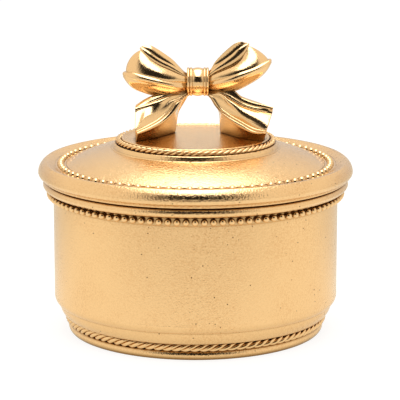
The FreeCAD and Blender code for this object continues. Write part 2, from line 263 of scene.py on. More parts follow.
    def relief(self, tree: Tree, place: Socket, pits: Socket) -> Socket:
        """Waves, grains and pits the surface.

        Args:
            tree: The material's tree.
            place: The piece's coordinates in millimetres.
            pits: 1 on a pit's floor and 0 outside pits.

        Returns:
            The bumped normal.
        """
        wave = add_node(tree, "ShaderNodeTexNoise", {
            "Vector": place, "Scale": 1 / self.wave_mm, "Detail": 1.0})
        grain = add_node(tree, "ShaderNodeTexNoise", {
            "Vector": place, "Scale": 1 / self.grain_mm, "Detail": 2.5, "Roughness": 0.6})
        waved = add_node(tree, "ShaderNodeBump", {
            "Height": wave.outputs["Fac"], "Strength": 1.0, "Distance": self.wave_depth_mm * MM})
        grained = add_node(tree, "ShaderNodeBump", {
            "Height": grain.outputs["Fac"], "Strength": 1.0, "Distance": self.grain_depth_mm * MM,
            "Normal": waved.outputs["Normal"]})
        pitted = add_node(tree, "ShaderNodeBump", {
            "Height": pits, "Strength": 0.6, "Distance": self.pit_mm * self.pit_depth_share * MM,
            "Normal": grained.outputs["Normal"]}, invert=True)
        return pitted.outputs["Normal"]


# Drum castings: an even grain that frays the edges of reflections and leaves the broad ones whole
SATIN = GiltBrass("brass_cast_gilt_satin")
# Lid castings: a coarser skin that breaks dark reflections into speckles
COARSE = GiltBrass("brass_cast_gilt_coarse", grain_mm=0.7, grain_depth_mm=0.17)
# Bead wire: bright drops, with brown painted shade in the gaps between them
BEAD_WIRE = GiltBrass("brass_bead_wire_gilt", roughness_low=0.06, roughness_high=0.10, pit_share=0.0,
                      crease_mm=2.6, crease_share=0.75, grain_depth_mm=0.003, wave_depth_mm=0.005,
                      mottle_share=0.2)
# Rope wire: softer strands, with little painted shade between them
ROPE_WIRE = GiltBrass("brass_rope_wire_gilt", roughness_low=0.10, roughness_high=0.18, pit_share=0.0,
                      crease_mm=1.3, crease_share=0.3, grain_depth_mm=0.003, wave_depth_mm=0.005,
                      mottle_share=0.2)
# Bow castings: polished by hand, with faint waves and painted shade in the hollows between the ribbons
POLISHED = GiltBrass("brass_cast_gilt_polished", roughness_low=0.08, roughness_high=0.20, pit_share=0.0,
                     crease_mm=5.0, crease_share=0.55, grain_depth_mm=0.03, wave_depth_mm=0.05,
                     mottle_share=0.2)


@dataclass(frozen=True)
class CottonVelvet:
    """Ivory cotton velvet: a short cut pile that looks darker head-on and pale where it leans away.

    Broad patches are painted in a darker shade, standing for crushed pile.
    """

    name: str = "cotton_velvet_ivory"
    # The pile's colour, and the darker painted shade of its crushed patches
    pile: str = "DCCBAE"
    shade: str = "B9A281"
    # Real pile is about 0.1 mm across; it is drawn at 0.5 mm so that it shows.
    tuft_mm: float = 0.5
    tuft_depth_mm: float = 0.25
    crush_mm: float = 9.0
    crush_span: Span = (0.35, 0.65)
    roughness: float = 0.92
    sheen: float = 0.6
    sheen_roughness: float = 0.35
    specular: float = 0.2

    def material(self) -> Material:
        """Builds the node material.

        Returns:
            The velvet material.
        """
        material, tree, place = new_material(self.name)
        crush = add_node(tree, "ShaderNodeTexNoise", {
            "Vector": place, "Scale": 1 / self.crush_mm, "Detail": 3.0})
        tufts = add_node(tree, "ShaderNodeTexNoise", {
            "Vector": place, "Scale": 1 / self.tuft_mm, "Detail": 2.0})
        # Painted shade: broad patches of crushed pile mixed towards the darker colour
        start, full = self.crush_span
        lean = add_node(tree, "ShaderNodeMapRange", {
            "Value": crush.outputs["Fac"], "From Min": start, "From Max": full})
        colour = add_node(tree, "ShaderNodeMix", {
            0: lean.outputs["Result"], 6: linear(self.pile), 7: linear(self.shade)}, data_type="RGBA")
        napped = add_node(tree, "ShaderNodeBump", {
            "Height": tufts.outputs["Fac"], "Strength": 0.7, "Distance": self.tuft_depth_mm * MM})
        shader = add_node(tree, "ShaderNodeBsdfPrincipled", {
            "Base Color": colour.outputs[2], "Roughness": self.roughness, "Sheen Weight": self.sheen,
            "Sheen Roughness": self.sheen_roughness, "Specular IOR Level": self.specular,
            "Normal": napped.outputs["Normal"]})
        add_node(tree, "ShaderNodeOutputMaterial", {"Surface": shader.outputs["BSDF"]})
        return material


@dataclass(frozen=True)
class WoolFelt:
    """Dark brown pressed wool felt: matted fibres with no weave, dull from every side."""

    name: str = "wool_felt_pressed"
    wool: str = "4B3A2E"
    fleck: str = "6A5545"
    # Wool fibres are about 0.03 mm thick; the matting is drawn at 0.8 mm so that it shows.
    fibre_mm: float = 0.8
    fibre_depth_mm: float = 0.3
    roughness: float = 0.95
    specular: float = 0.15

    def material(self) -> Material:
        """Builds the node material.

        Returns:
            The felt material.
        """
        material, tree, place = new_material(self.name)
        mat = add_node(tree, "ShaderNodeTexNoise", {
            "Vector": place, "Scale": 1 / self.fibre_mm, "Detail": 5.0, "Roughness": 0.7,
            "Distortion": 1.5})
        colour = add_node(tree, "ShaderNodeMix", {
            0: mat.outputs["Fac"], 6: linear(self.wool), 7: linear(self.fleck)}, data_type="RGBA")
        rough = add_node(tree, "ShaderNodeBump", {
            "Height": mat.outputs["Fac"], "Strength": 0.8, "Distance": self.fibre_depth_mm * MM})
        shader = add_node(tree, "ShaderNodeBsdfPrincipled", {
            "Base Color": colour.outputs[2], "Roughness": self.roughness,
            "Specular IOR Level": self.specular, "Normal": rough.outputs["Normal"]})
        add_node(tree, "ShaderNodeOutputMaterial", {"Surface": shader.outputs["BSDF"]})
        return material


@dataclass(frozen=True)
class ZincSteel:
    """Zinc-plated turned steel: cool grey, with fine turning marks and a slightly cloudy plating."""

    name: str = "steel_zinc_plated"
    zinc: str = "B9BDC0"
    cloud: str = "989B9C"
    cloud_mm: float = 1.25
    # Width of one turning mark, drawn coarser than a real one so that it shows
    turning_mm: float = 0.25
    turning_depth_mm: float = 0.02
    # About as many half waves as the wave pattern has in a millimetre at scale 1
    half_waves: float = 6.3
    roughness: float = 0.32

    def material(self) -> Material:
        """Builds the node material.

        Returns:
            The steel material.
        """
        material, tree, place = new_material(self.name)
        cloud = add_node(tree, "ShaderNodeTexNoise", {
            "Vector": place, "Scale": 1 / self.cloud_mm, "Detail": 3.0})
        colour = add_node(tree, "ShaderNodeMix", {
            0: cloud.outputs["Fac"], 6: linear(self.zinc), 7: linear(self.cloud)}, data_type="RGBA")
        marks = add_node(tree, "ShaderNodeTexWave", {
            "Vector": place, "Scale": 1 / self.turning_mm / self.half_waves, "Distortion": 2.0},
            bands_direction="Z")
        turned = add_node(tree, "ShaderNodeBump", {
            "Height": marks.outputs["Fac"], "Strength": 0.3, "Distance": self.turning_depth_mm * MM})
        shader = add_node(tree, "ShaderNodeBsdfPrincipled", {
            "Base Color": colour.outputs[2], "Metallic": 1.0, "Roughness": self.roughness,
            "Normal": turned.outputs["Normal"]})
        add_node(tree, "ShaderNodeOutputMaterial", {"Surface": shader.outputs["BSDF"]})
        return material


def quads(rows: int, columns: int, wrap_rows: bool, wrap_columns: bool) -> list[tuple[int, int, int, int]]:
    """Faces of a grid of points.

    Args:
        rows: Number of rows of points.
        columns: Number of points in a row.
        wrap_rows: Whether the last row joins the first.
        wrap_columns: Whether the last point of a row joins the first.

    Returns:
        Four point numbers for each face.
    """
    faces = []
    for row in range(rows if wrap_rows else rows - 1):
        below, above = row * columns, (row + 1) % rows * columns
        for column in range(columns if wrap_columns else columns - 1):
            beside = (column + 1) % columns
            faces.append((below + column, below + beside, above + beside, above + column))
    return faces


def ring_row(out: np.ndarray | float, turn: np.ndarray, height: np.ndarray | float) -> np.ndarray:
    """One row of points round the vertical axis.

    Args:
        out: Distance from the axis.
        turn: Angles of the points.
        height: Height of the points.

    Returns:
        One row of coordinates per point.
    """
    return np.stack([out * np.cos(turn), out * np.sin(turn), np.broadcast_to(height, turn.shape)], axis=1)


def new_piece(name: str, points: np.ndarray, faces: list[tuple[int, ...]], material: Material,
              body: Body, node: str) -> bpy.types.Object:
    """Makes a smooth mesh piece that rides on a body and stands for a CAD node.

    Args:
        name: The piece's name.
        points: Points in millimetres, one row each.
        faces: Point numbers of each face.
        material: Its finish.
        body: The body that it moves with.
        node: The CAD node that it stands for.

    Returns:
        The new object.
    """
    mesh = bpy.data.meshes.new(name)
    mesh.from_pydata((points * MM).tolist(), [], faces)
    weld = bmesh.new()
    weld.from_mesh(mesh)
    bmesh.ops.remove_doubles(weld, verts=weld.verts, dist=WELD_MM * MM)
    weld.to_mesh(mesh)
    weld.free()
    mesh.validate()
    mesh.shade_smooth()
    mesh.materials.append(material)
    piece = bpy.data.objects.new(name, mesh)
    bpy.context.scene.collection.objects.link(piece)
    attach(piece, body.value)
    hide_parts(node)
    LOG.info("made %s in %s for the %s", name, material.name, body.value)
    return piece


def dress_node(node: str, material: Material) -> None:
    """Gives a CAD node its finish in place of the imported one.

    Args:
        node: The node's name.
        material: Its finish.
    """
    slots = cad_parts[node].data.materials
    slots.clear()
    slots.append(material)
    LOG.info("dressed %s in %s", node, material.name)


@dataclass(frozen=True)
class RopeRing:
    """A ring of rope wire, of round strands laid right-handed about the ring."""

    node: str
    body: Body
    ring_mm: float
    rope_mm: float
    height_mm: float
    lays: int
    strands: int = 3
    steps_per_lay: int = 20
    strand_points: int = 14

    def strand(self, number: int) -> np.ndarray:
        """One strand's tube.

        Args:
            number: Which strand, from 0.

        Returns:
            Points in millimetres, by step along the ring and point round the strand.
        """
        bundle = 1 + 1 / math.sin(math.pi / self.strands)
        strand_mm = self.rope_mm / bundle
        centre_mm = self.rope_mm - strand_mm
        turn = np.linspace(0, FULL_TURN, self.lays * self.steps_per_lay, endpoint=False)
        lay = self.lays * turn + FULL_TURN * number / self.strands
        outward = np.stack([np.cos(turn), np.sin(turn), np.zeros_like(turn)], axis=1)
        up = np.array([0.0, 0.0, 1.0])
        lean = np.cos(lay)[:, None] * outward + np.sin(lay)[:, None] * up
        middle = self.ring_mm * outward + self.height_mm * up + centre_mm * lean
        along = np.roll(middle, -1, axis=0) - np.roll(middle, 1, axis=0)
        along /= np.linalg.norm(along, axis=1, keepdims=True)
        across = np.cross(along, lean)
        across /= np.linalg.norm(across, axis=1, keepdims=True)
        rise = np.cross(across, along)
        section = np.linspace(0, FULL_TURN, self.strand_points, endpoint=False)
        ring = (np.cos(section)[None, :, None] * rise[:, None, :]
                + np.sin(section)[None, :, None] * across[:, None, :])
        return middle[:, None, :] + strand_mm * ring

    def build(self, material: Material) -> None:
        """Twists the strands into one piece.

        Args:
            material: The wire's finish.
        """
        steps = self.lays * self.steps_per_lay
        faces = quads(steps, self.strand_points, True, True)
        size = steps * self.strand_points
        points, all_faces = [], []
        for number in range(self.strands):
            points.append(self.strand(number).reshape(-1, 3))
            all_faces += [tuple(corner + number * size for corner in face[::-1]) for face in faces]
        new_piece(self.node + "_wire", np.concatenate(points), all_faces, material, self.body,
                  self.node)


def smoothed(stations: np.ndarray, places: np.ndarray) -> np.ndarray:
    """Runs a smooth curve through stations.

    Args:
        stations: One row of values per station.
        places: Where to read the curve, from 0 at the first station to 1 at the last.

    Returns:
        One row of values per place.
    """
    steps = np.linalg.norm(np.diff(stations, axis=0), axis=1)
    knots = np.concatenate([[0.0], np.cumsum(steps)]) / steps.sum()
    slopes = np.gradient(stations, knots, axis=0)
    span = np.clip(np.searchsorted(knots, places, side="right") - 1, 0, len(knots) - 2)
    width = (knots[span + 1] - knots[span])[:, None]
    share = ((places - knots[span])[:, None]) / width
    rest = 1 - share
    return (stations[span] * (1 + 2 * share) * rest ** 2 + stations[span + 1] * (3 - 2 * share) * share ** 2
            + slopes[span] * width * share * rest ** 2 - slopes[span + 1] * width * share ** 2 * rest)


@dataclass(frozen=True)
class RibbonLine:
    """A hem, crease or fold that runs along a ribbon, and the surface from it to the next line round."""

    # Outward, to the back and up from the knot's middle, in millimetres, from the knot to the outer end
    stations: tuple[tuple[float, float, float], ...]
    # How far the surface bows out midway along and at the outer end
    bulge_mm: float
    end_bulge_mm: float
    points: int


class End(Enum):
    """How a ribbon ends."""

    ROUNDED = "rounded"
    CUT = "cut"


@dataclass
class BowRibbon:
    """A loop or a tail of the bow, skinned over its hems, creases and folds."""

    node: str
    side: int
    end: End
    lines: tuple[RibbonLine, ...]
    knot_x_mm: float = 0.9
    knot_z_mm: float = 95.35
    plate_z_mm: float = 74.15
    # How deep a foot sinks into the plate
    seat_mm: float = 0.05
    rows: int = 110
    # Place along the ribbon from which its bulges turn into those of its outer end
    end_from_share: float = 0.75
    # Share of the bulge that is left in the knot, and how fast it grows from there
    knot_bulge_share: float = 0.3
    bulge_growth: float = 2.2
    arch_power: float = 0.8
    # How a rounded end thins, and how late its surfaces start to bow ahead
    thinning_power: float = 0.85
    ahead_power: int = 3
    # Distance from a section's middle that weighs as much as the unit direction ahead
    sideways_mm: float = 4.0

    def row(self, corners: np.ndarray, along: float, swing: float, ahead: np.ndarray) -> np.ndarray:
        """One closed section across the ribbon.

        Args:
            corners: A point of each line in turn.
            along: Place along the ribbon, from 0 in the knot to 1 at its outer end.
            swing: Angle by which the ribbon has turned round its outer end.
            ahead: Unit direction along the ribbon.

        Returns:
            Points round the section.
        """
        middle = corners.mean(axis=0)
        late = max(0.0, (along - self.end_from_share) / (1 - self.end_from_share)) ** 2
        growth = min(1.0, self.knot_bulge_share + self.bulge_growth * along)
        parts = []
        for number, line in enumerate(self.lines):
            start, stop = corners[number], corners[(number + 1) % len(corners)]
            chord = stop - start
            length = max(float(np.linalg.norm(chord)), TINY)
            sideways = math.cos(swing) * ((start + stop) / 2 - middle) / self.sideways_mm
            out = sideways + math.sin(swing) ** self.ahead_power * ahead
            out = out - chord * float(out @ chord) / length ** 2
            out /= max(float(np.linalg.norm(out)), TINY)
            bulge = (line.bulge_mm * (1 - late) + line.end_bulge_mm * late) * growth
            share = np.linspace(0, 1, line.points, endpoint=False)[:, None]
            arch = (4 * share * (1 - share)) ** self.arch_power
            parts.append(start + chord * share + out * bulge * arch)
        return np.concatenate(parts)

    def sections(self) -> np.ndarray:
        """Places the ribbon's sections on the lid.

        Returns:
            Points in millimetres, by section along the ribbon and point round it.
        """
        rounded = self.end is End.ROUNDED
        swings = np.linspace(0, math.pi / 2, self.rows) if rounded else np.zeros(self.rows)
        along = np.sin(swings) if rounded else np.linspace(0, 1, self.rows)
        curves = np.stack([smoothed(np.array(line.stations), along) for line in self.lines], axis=1)
        if rounded:
            curves[:, :, 1] *= (np.cos(swings) ** self.thinning_power)[:, None]
        tips = np.stack([np.array(line.stations)[[-2, -1]] for line in self.lines]).mean(axis=0)
        ahead = (tips[1] - tips[0]) * np.array([1.0, 0.0, 1.0])
        ahead /= np.linalg.norm(ahead)
        rings = np.stack([self.row(*section, ahead) for section in zip(curves, along, swings)])
        rings[:, :, 0] = self.side * rings[:, :, 0] + self.knot_x_mm
        rings[:, :, 2] = np.maximum(rings[:, :, 2] + self.knot_z_mm, self.plate_z_mm - self.seat_mm)
        return rings

    def build(self, material: Material) -> None:
        """Skins the sections into one piece.

        Args:
            material: Its finish.
        """
        rings = self.sections()
        count, round_it = rings.shape[:2]
        faces = quads(count, round_it, False, True) + [tuple(range(round_it))[::-1]]
        if self.end is End.CUT:
            faces.append(tuple(range((count - 1) * round_it, count * round_it)))
        if self.side > 0:
            faces = [face[::-1] for face in faces]
        new_piece(self.node + "_ribbon", rings.reshape(-1, 3), faces, material, Body.LID,
                  self.node)


Outline = tuple[tuple[tuple[float, float, float], ...], ...]
Skin = tuple[tuple[float, float, int], ...]


@dataclass
class Bow:
    """The cast ribbon bow: a ribbed knot, two puffed loops and two pleated tails that stand on the plinth."""

    # Crest, roll, crease, hem top, hem foot and keel of each loop
    left_loop: Outline = (
        ((0.3, 0, 2.6), (4.2, 0, 3.0), (5.3, 0, 3.6), (7.2, 0, 5.7), (9.0, 0, 7.9), (13.2, 0, 11.1),
         (15.5, 0, 12.6), (18.6, 0, 14.0), (20.9, 0, 13.5)),
        ((0.3, -2.3, 2.3), (4.2, -2.4, 2.7), (6.1, -2.2, 4.1), (9.0, -2.2, 6.2), (12.8, -2.3, 8.2),
         (15.1, -2.4, 9.5), (18.2, -2.5, 11.6), (21.0, -2.5, 13.2)),
        ((0.3, -2.8, 1.8), (4.2, -2.9, 2.3), (7.0, -3.0, 3.4), (10.9, -3.1, 5.2), (13.7, -3.3, 6.4),
         (16.6, -3.4, 8.0), (18.6, -3.5, 9.4), (21.5, -3.5, 12.0)),
        ((0.3, -3.0, -0.5), (4.2, -3.4, -0.2), (7.0, -4.6, 0.3), (11.2, -6.2, 0.9), (16.6, -7.4, 2.3),
         (20.4, -7.8, 3.2), (24.3, -7.8, 4.0), (27.2, -7.8, 3.8)),
        ((0.3, -2.6, -2.2), (4.2, -3.0, -2.4), (7.0, -4.9, -2.1), (12.8, -7.0, -0.7), (16.6, -8.0, 0.1),
         (20.8, -8.4, 0.9), (25.2, -8.6, 1.6), (28.3, -8.6, 2.3)),
        ((0.3, -0.6, -2.7), (4.2, -0.8, -3.4), (8.0, -1.6, -4.6), (12.0, -2.4, -5.1), (17.4, -2.8, -4.7),
         (21.0, -3.0, -3.6), (24.3, -3.0, -2.2), (27.0, -3.0, 0.2), (28.3, -3.0, 1.9)),
    )
    right_loop: Outline = (
        ((0.3, 0, 2.6), (3.6, -0.8, 3.4), (4.6, -1.2, 4.6), (6.4, -1.7, 7.7), (8.7, -1.9, 10.3),
         (11.6, -2.0, 13.0), (14.3, -2.0, 14.9), (16.4, -2.0, 15.4), (18.3, -2.0, 14.7)),
        ((0.3, -2.3, 2.3), (3.6, -2.4, 3.1), (4.6, -2.2, 4.2), (6.8, -2.2, 6.2), (9.3, -2.2, 8.0),
         (13.1, -2.3, 10.8), (15.2, -2.4, 12.7), (18.4, -2.5, 14.6)),
        ((0.3, -2.8, 1.6), (4.1, -2.9, 2.2), (5.8, -2.9, 3.2), (10.0, -2.9, 5.2), (13.5, -2.9, 6.9),
         (16.0, -2.9, 8.9), (17.9, -2.9, 11.4), (19.1, -2.9, 13.5)),
        ((0.3, -3.0, -0.2), (3.9, -3.4, 0.3), (6.8, -4.6, 1.1), (11.5, -6.2, 2.7), (16.4, -7.4, 4.5),
         (21.1, -7.8, 6.0), (24.6, -7.8, 7.6), (26.6, -7.8, 8.4)),
        ((0.3, -2.6, -1.8), (3.9, -3.0, -1.3), (6.8, -4.9, -0.7), (11.5, -7.0, 0.5), (16.4, -8.0, 2.1),
         (21.1, -8.4, 4.2), (25.0, -8.6, 5.7), (27.8, -8.6, 7.6)),
        ((0.3, -0.6, -2.4), (3.9, -0.8, -3.6), (9.0, -1.6, -3.7), (14.3, -2.4, -3.0), (19.3, -2.8, -0.6),
         (23.5, -3.0, 2.1), (26.0, -3.0, 4.5), (27.8, -3.0, 7.2)),
    )
    # Bulge midway along, bulge at the tip and points of each loop surface, from the crest down
    left_skin: Skin = (
        (0.45, 0.3, 14), (0.45, 0.7, 14), (0.95, 1.6, 44), (0.6, 0.8, 16), (0.7, 0.1, 18), (0.5, 0.1, 10))
    right_skin: Skin = (
        (-0.2, 0.3, 14), (0.75, 0.7, 18), (0.75, 0.8, 44), (0.6, 0.8, 16), (0.7, 0.1, 18), (0.5, 0.1, 10))
    # Top edge, ridge, valley, fold, two piped hems and their foot, then the inner foot, outer foot and back
    left_tail: Outline = (
        ((3.0, -1.0, -3.0), (6.4, -1.8, -3.4), (10.9, -3.0, -3.6), (14.3, -3.5, -3.9), (17.3, -3.9, -4.7),
         (20.4, -4.1, -6.2), (23.5, -4.2, -8.2)),
        ((3.0, -1.4, -3.4), (6.4, -2.2, -4.2), (11.3, -3.8, -4.9), (15.6, -5.2, -6.2), (19.4, -5.8, -7.6),
         (23.5, -6.7, -8.7)),
        ((3.0, -1.6, -3.8), (6.4, -2.6, -5.0), (10.8, -4.5, -5.6), (14.6, -6.1, -7.4), (18.8, -6.6, -8.6),
         (22.3, -7.1, -9.7), (23.6, -7.5, -10.1)),
        ((3.0, -2.0, -4.1), (6.2, -3.0, -5.6), (10.8, -4.8, -7.1), (12.7, -5.8, -8.8), (16.3, -7.6, -10.5),
         (20.7, -10.0, -12.7), (21.7, -11.0, -14.4), (23.6, -12.2, -16.2)),
        ((3.0, -2.2, -4.2), (6.0, -3.1, -6.0), (8.6, -4.1, -6.8), (10.7, -5.2, -9.3), (14.6, -7.2, -12.8),
         (18.4, -9.4, -14.8), (23.1, -12.1, -16.7)),
        ((2.9, -2.3, -4.3), (5.8, -3.2, -6.1), (8.4, -4.2, -7.5), (10.2, -5.2, -10.0), (13.6, -7.0, -13.2),
         (17.8, -9.4, -15.4), (22.9, -12.3, -17.3)),
        ((2.8, -2.2, -4.4), (5.4, -3.2, -5.3), (6.7, -4.2, -7.7), (8.4, -5.2, -10.4), (12.3, -7.0, -14.0),
         (17.1, -9.5, -16.4), (22.6, -12.4, -18.1)),
        ((3.0, 1.0, -4.5), (5.2, 2.5, -8.4), (7.1, 5.0, -12.1), (9.2, 9.2, -22.0), (15.4, -0.8, -22.2),
         (23.4, -9.0, -22.2)),
        ((3.0, 1.4, -4.2), (6.9, 4.2, -7.9), (9.9, 7.0, -11.6), (13.3, 10.5, -22.0), (19.9, 3.8, -22.2),
         (24.0, -3.8, -22.2)),
        ((3.0, 1.2, -3.8), (8.0, 3.2, -6.3), (11.9, 3.1, -6.6), (15.9, 2.5, -7.6), (19.9, 0.6, -8.9),
         (23.8, -1.5, -11.2)),
    )
    right_tail: Outline = (
        ((3.0, -0.6, -3.0), (5.3, -1.0, -3.2), (9.1, -1.9, -2.6), (13.3, -3.3, -2.5), (16.6, -4.4, -5.3),
         (20.3, -5.2, -6.8), (24.1, -6.0, -7.7), (28.3, -6.8, -8.6)),
        ((3.0, -1.4, -3.4), (5.3, -2.0, -3.9), (8.7, -2.9, -3.3), (11.6, -3.8, -4.1), (14.3, -4.6, -5.7),
         (17.4, -5.2, -7.4), (21.2, -5.9, -8.6), (24.9, -6.5, -9.1), (28.1, -7.1, -9.5)),
        ((3.0, -1.6, -4.0), (5.3, -2.2, -4.5), (8.5, -3.2, -4.3), (12.4, -4.6, -6.2), (17.4, -5.6, -8.5),
         (24.9, -6.8, -10.6), (27.8, -7.3, -11.3)),
        ((3.0, -2.0, -4.1), (5.3, -3.0, -4.5), (8.3, -4.2, -4.8), (9.5, -4.8, -5.7), (11.0, -5.7, -7.5),
         (13.1, -6.8, -9.1), (15.4, -8.0, -11.2), (21.1, -10.2, -14.0), (25.9, -12.0, -16.0)),
        ((3.0, -2.2, -4.2), (5.6, -3.3, -5.2), (8.7, -4.8, -9.1), (11.6, -6.2, -11.3), (16.4, -8.2, -13.8),
         (21.1, -10.2, -16.0), (25.4, -12.1, -16.7)),
        ((2.9, -2.3, -4.3), (5.1, -3.4, -6.0), (8.1, -4.8, -9.9), (11.6, -6.3, -12.3), (16.4, -8.3, -14.8),
         (20.9, -10.3, -17.0), (25.5, -12.3, -17.2)),
        ((2.8, -2.2, -4.4), (3.8, -3.0, -4.8), (6.4, -4.2, -8.6), (9.3, -5.6, -11.7), (12.5, -7.0, -14.1),
         (16.4, -8.6, -16.4), (20.7, -10.4, -18.0), (25.6, -12.4, -17.9)),
        ((3.0, 1.0, -4.5), (5.5, 2.5, -8.0), (7.6, 5.0, -11.7), (9.0, 9.2, -22.1), (14.9, -0.8, -22.2),
         (24.4, -9.0, -22.2)),
        ((3.0, 1.4, -4.2), (7.6, 4.2, -7.4), (10.9, 7.0, -11.2), (12.9, 10.5, -22.1), (19.1, 3.8, -22.2),
         (25.2, -3.8, -22.2)),
        ((3.0, 1.2, -3.8), (9.1, 3.2, -5.7), (14.1, 3.1, -6.1), (18.8, 2.5, -7.1), (23.4, 0.6, -8.5),
         (27.6, -1.5, -10.9)),
    )
    # The same for each tail surface; the right tail's broad panel is rounded and the left one hollow
    left_tail_skin: Skin = (
        (0.2, 0.2, 14), (0.25, 0.25, 10), (-0.12, -0.2, 34), (0.1, 0.1, 24), (0.28, 0.28, 10),
        (0.32, 0.32, 10), (-0.5, -0.3, 24), (0.0, 0.0, 8), (0.5, 0.3, 16), (0.4, 0.3, 16))
    right_tail_skin: Skin = (
        (0.2, 0.2, 14), (0.25, 0.25, 10), (1.0, 0.6, 34), (0.1, 0.1, 24), (0.28, 0.28, 10),
        (0.32, 0.32, 10), (-0.5, -0.3, 24), (0.0, 0.0, 8), (0.5, 0.3, 16), (0.4, 0.3, 16))

    def loop(self, outline: Outline, skin: Skin) -> tuple[RibbonLine, ...]:
        """Lines of a loop, whose back mirrors its front.

        Args:
            outline: Stations of the front's lines.
            skin: Bulges and points of the front's surfaces.

        Returns:
            Lines all the way round.
        """
        front = [RibbonLine(stations, *rule) for stations, rule in zip(outline, skin)]
        back = []
        for number in range(len(outline) - 1, 0, -1):
            mirrored = tuple((out, -deep, up) for out, deep, up in outline[number])
            back.append(RibbonLine(mirrored, *skin[number - 1]))
        return tuple(front + back)

    def tail(self, outline: Outline, skin: Skin) -> tuple[RibbonLine, ...]:
        """Lines of a tail, all the way round its section."""
        return tuple(RibbonLine(stations, *rule) for stations, rule in zip(outline, skin))

    def build(self, material: Material) -> None:
        """Dresses the knot and shapes the loops and tails.

        Args:
            material: The bow's finish.
        """
        dress_node("bow_knot", material)
        left_loop = self.loop(self.left_loop, self.left_skin)
        right_loop = self.loop(self.right_loop, self.right_skin)
        left_tail = self.tail(self.left_tail, self.left_tail_skin)
        right_tail = self.tail(self.right_tail, self.right_tail_skin)
        BowRibbon("bow_left_loop", -1, End.ROUNDED, left_loop).build(material)
        BowRibbon("bow_right_loop", 1, End.ROUNDED, right_loop).build(material)
        BowRibbon("bow_left_tail", -1, End.CUT, left_tail).build(material)
        BowRibbon("bow_right_tail", 1, End.CUT, right_tail).build(material)


@dataclass
class Drum:
    """The box below the lid: cast wall, foot and floor, with bead and rope wire round them."""

    castings: tuple[str, ...] = ("box_wall", "foot_moulding", "box_floor")
    bead_wire: str = "rim_bead_band"
    rope: RopeRing = RopeRing("foot_rope", Body.BOX, ring_mm=48.7, rope_mm=1.6, height_mm=4.85, lays=30)

    def build(self, cast: Material, beads: Material, wire: Material) -> None:
        """Dresses the drum and twists its rope.

        Args:
            cast: Finish of the castings.
            beads: Finish of the bead wire.
            wire: Finish of the rope wire.
        """
        for node in self.castings:
            dress_node(node, cast)
        dress_node(self.bead_wire, beads)
        self.rope.build(wire)


@dataclass
class Lid:
    """The lid under the bow: cast shell, ring and plinth, with bead and rope wire, and the bow's screws."""

    castings: tuple[str, ...] = ("lid_shell", "lid_locating_ring", "lid_plinth")
    bead_wire: str = "lid_bead_border"
    fasteners: tuple[str, ...] = ("bow_screws", "bow_washers")
    rope: RopeRing = RopeRing("plinth_rope", Body.LID, ring_mm=29.35, rope_mm=1.1, height_mm=73.2, lays=23)

    def build(self, cast: Material, beads: Material, wire: Material, steel: Material) -> None:
        """Dresses the lid and twists its rope.

        Args:
            cast: Finish of the castings.
            beads: Finish of the bead wire.
            wire: Finish of the rope wire.
            steel: Finish of the screws and washers.
        """
        for node in self.castings:
            dress_node(node, cast)
        dress_node(self.bead_wire, beads)
        for node in self.fasteners:
            dress_node(node, steel)
        self.rope.build(wire)


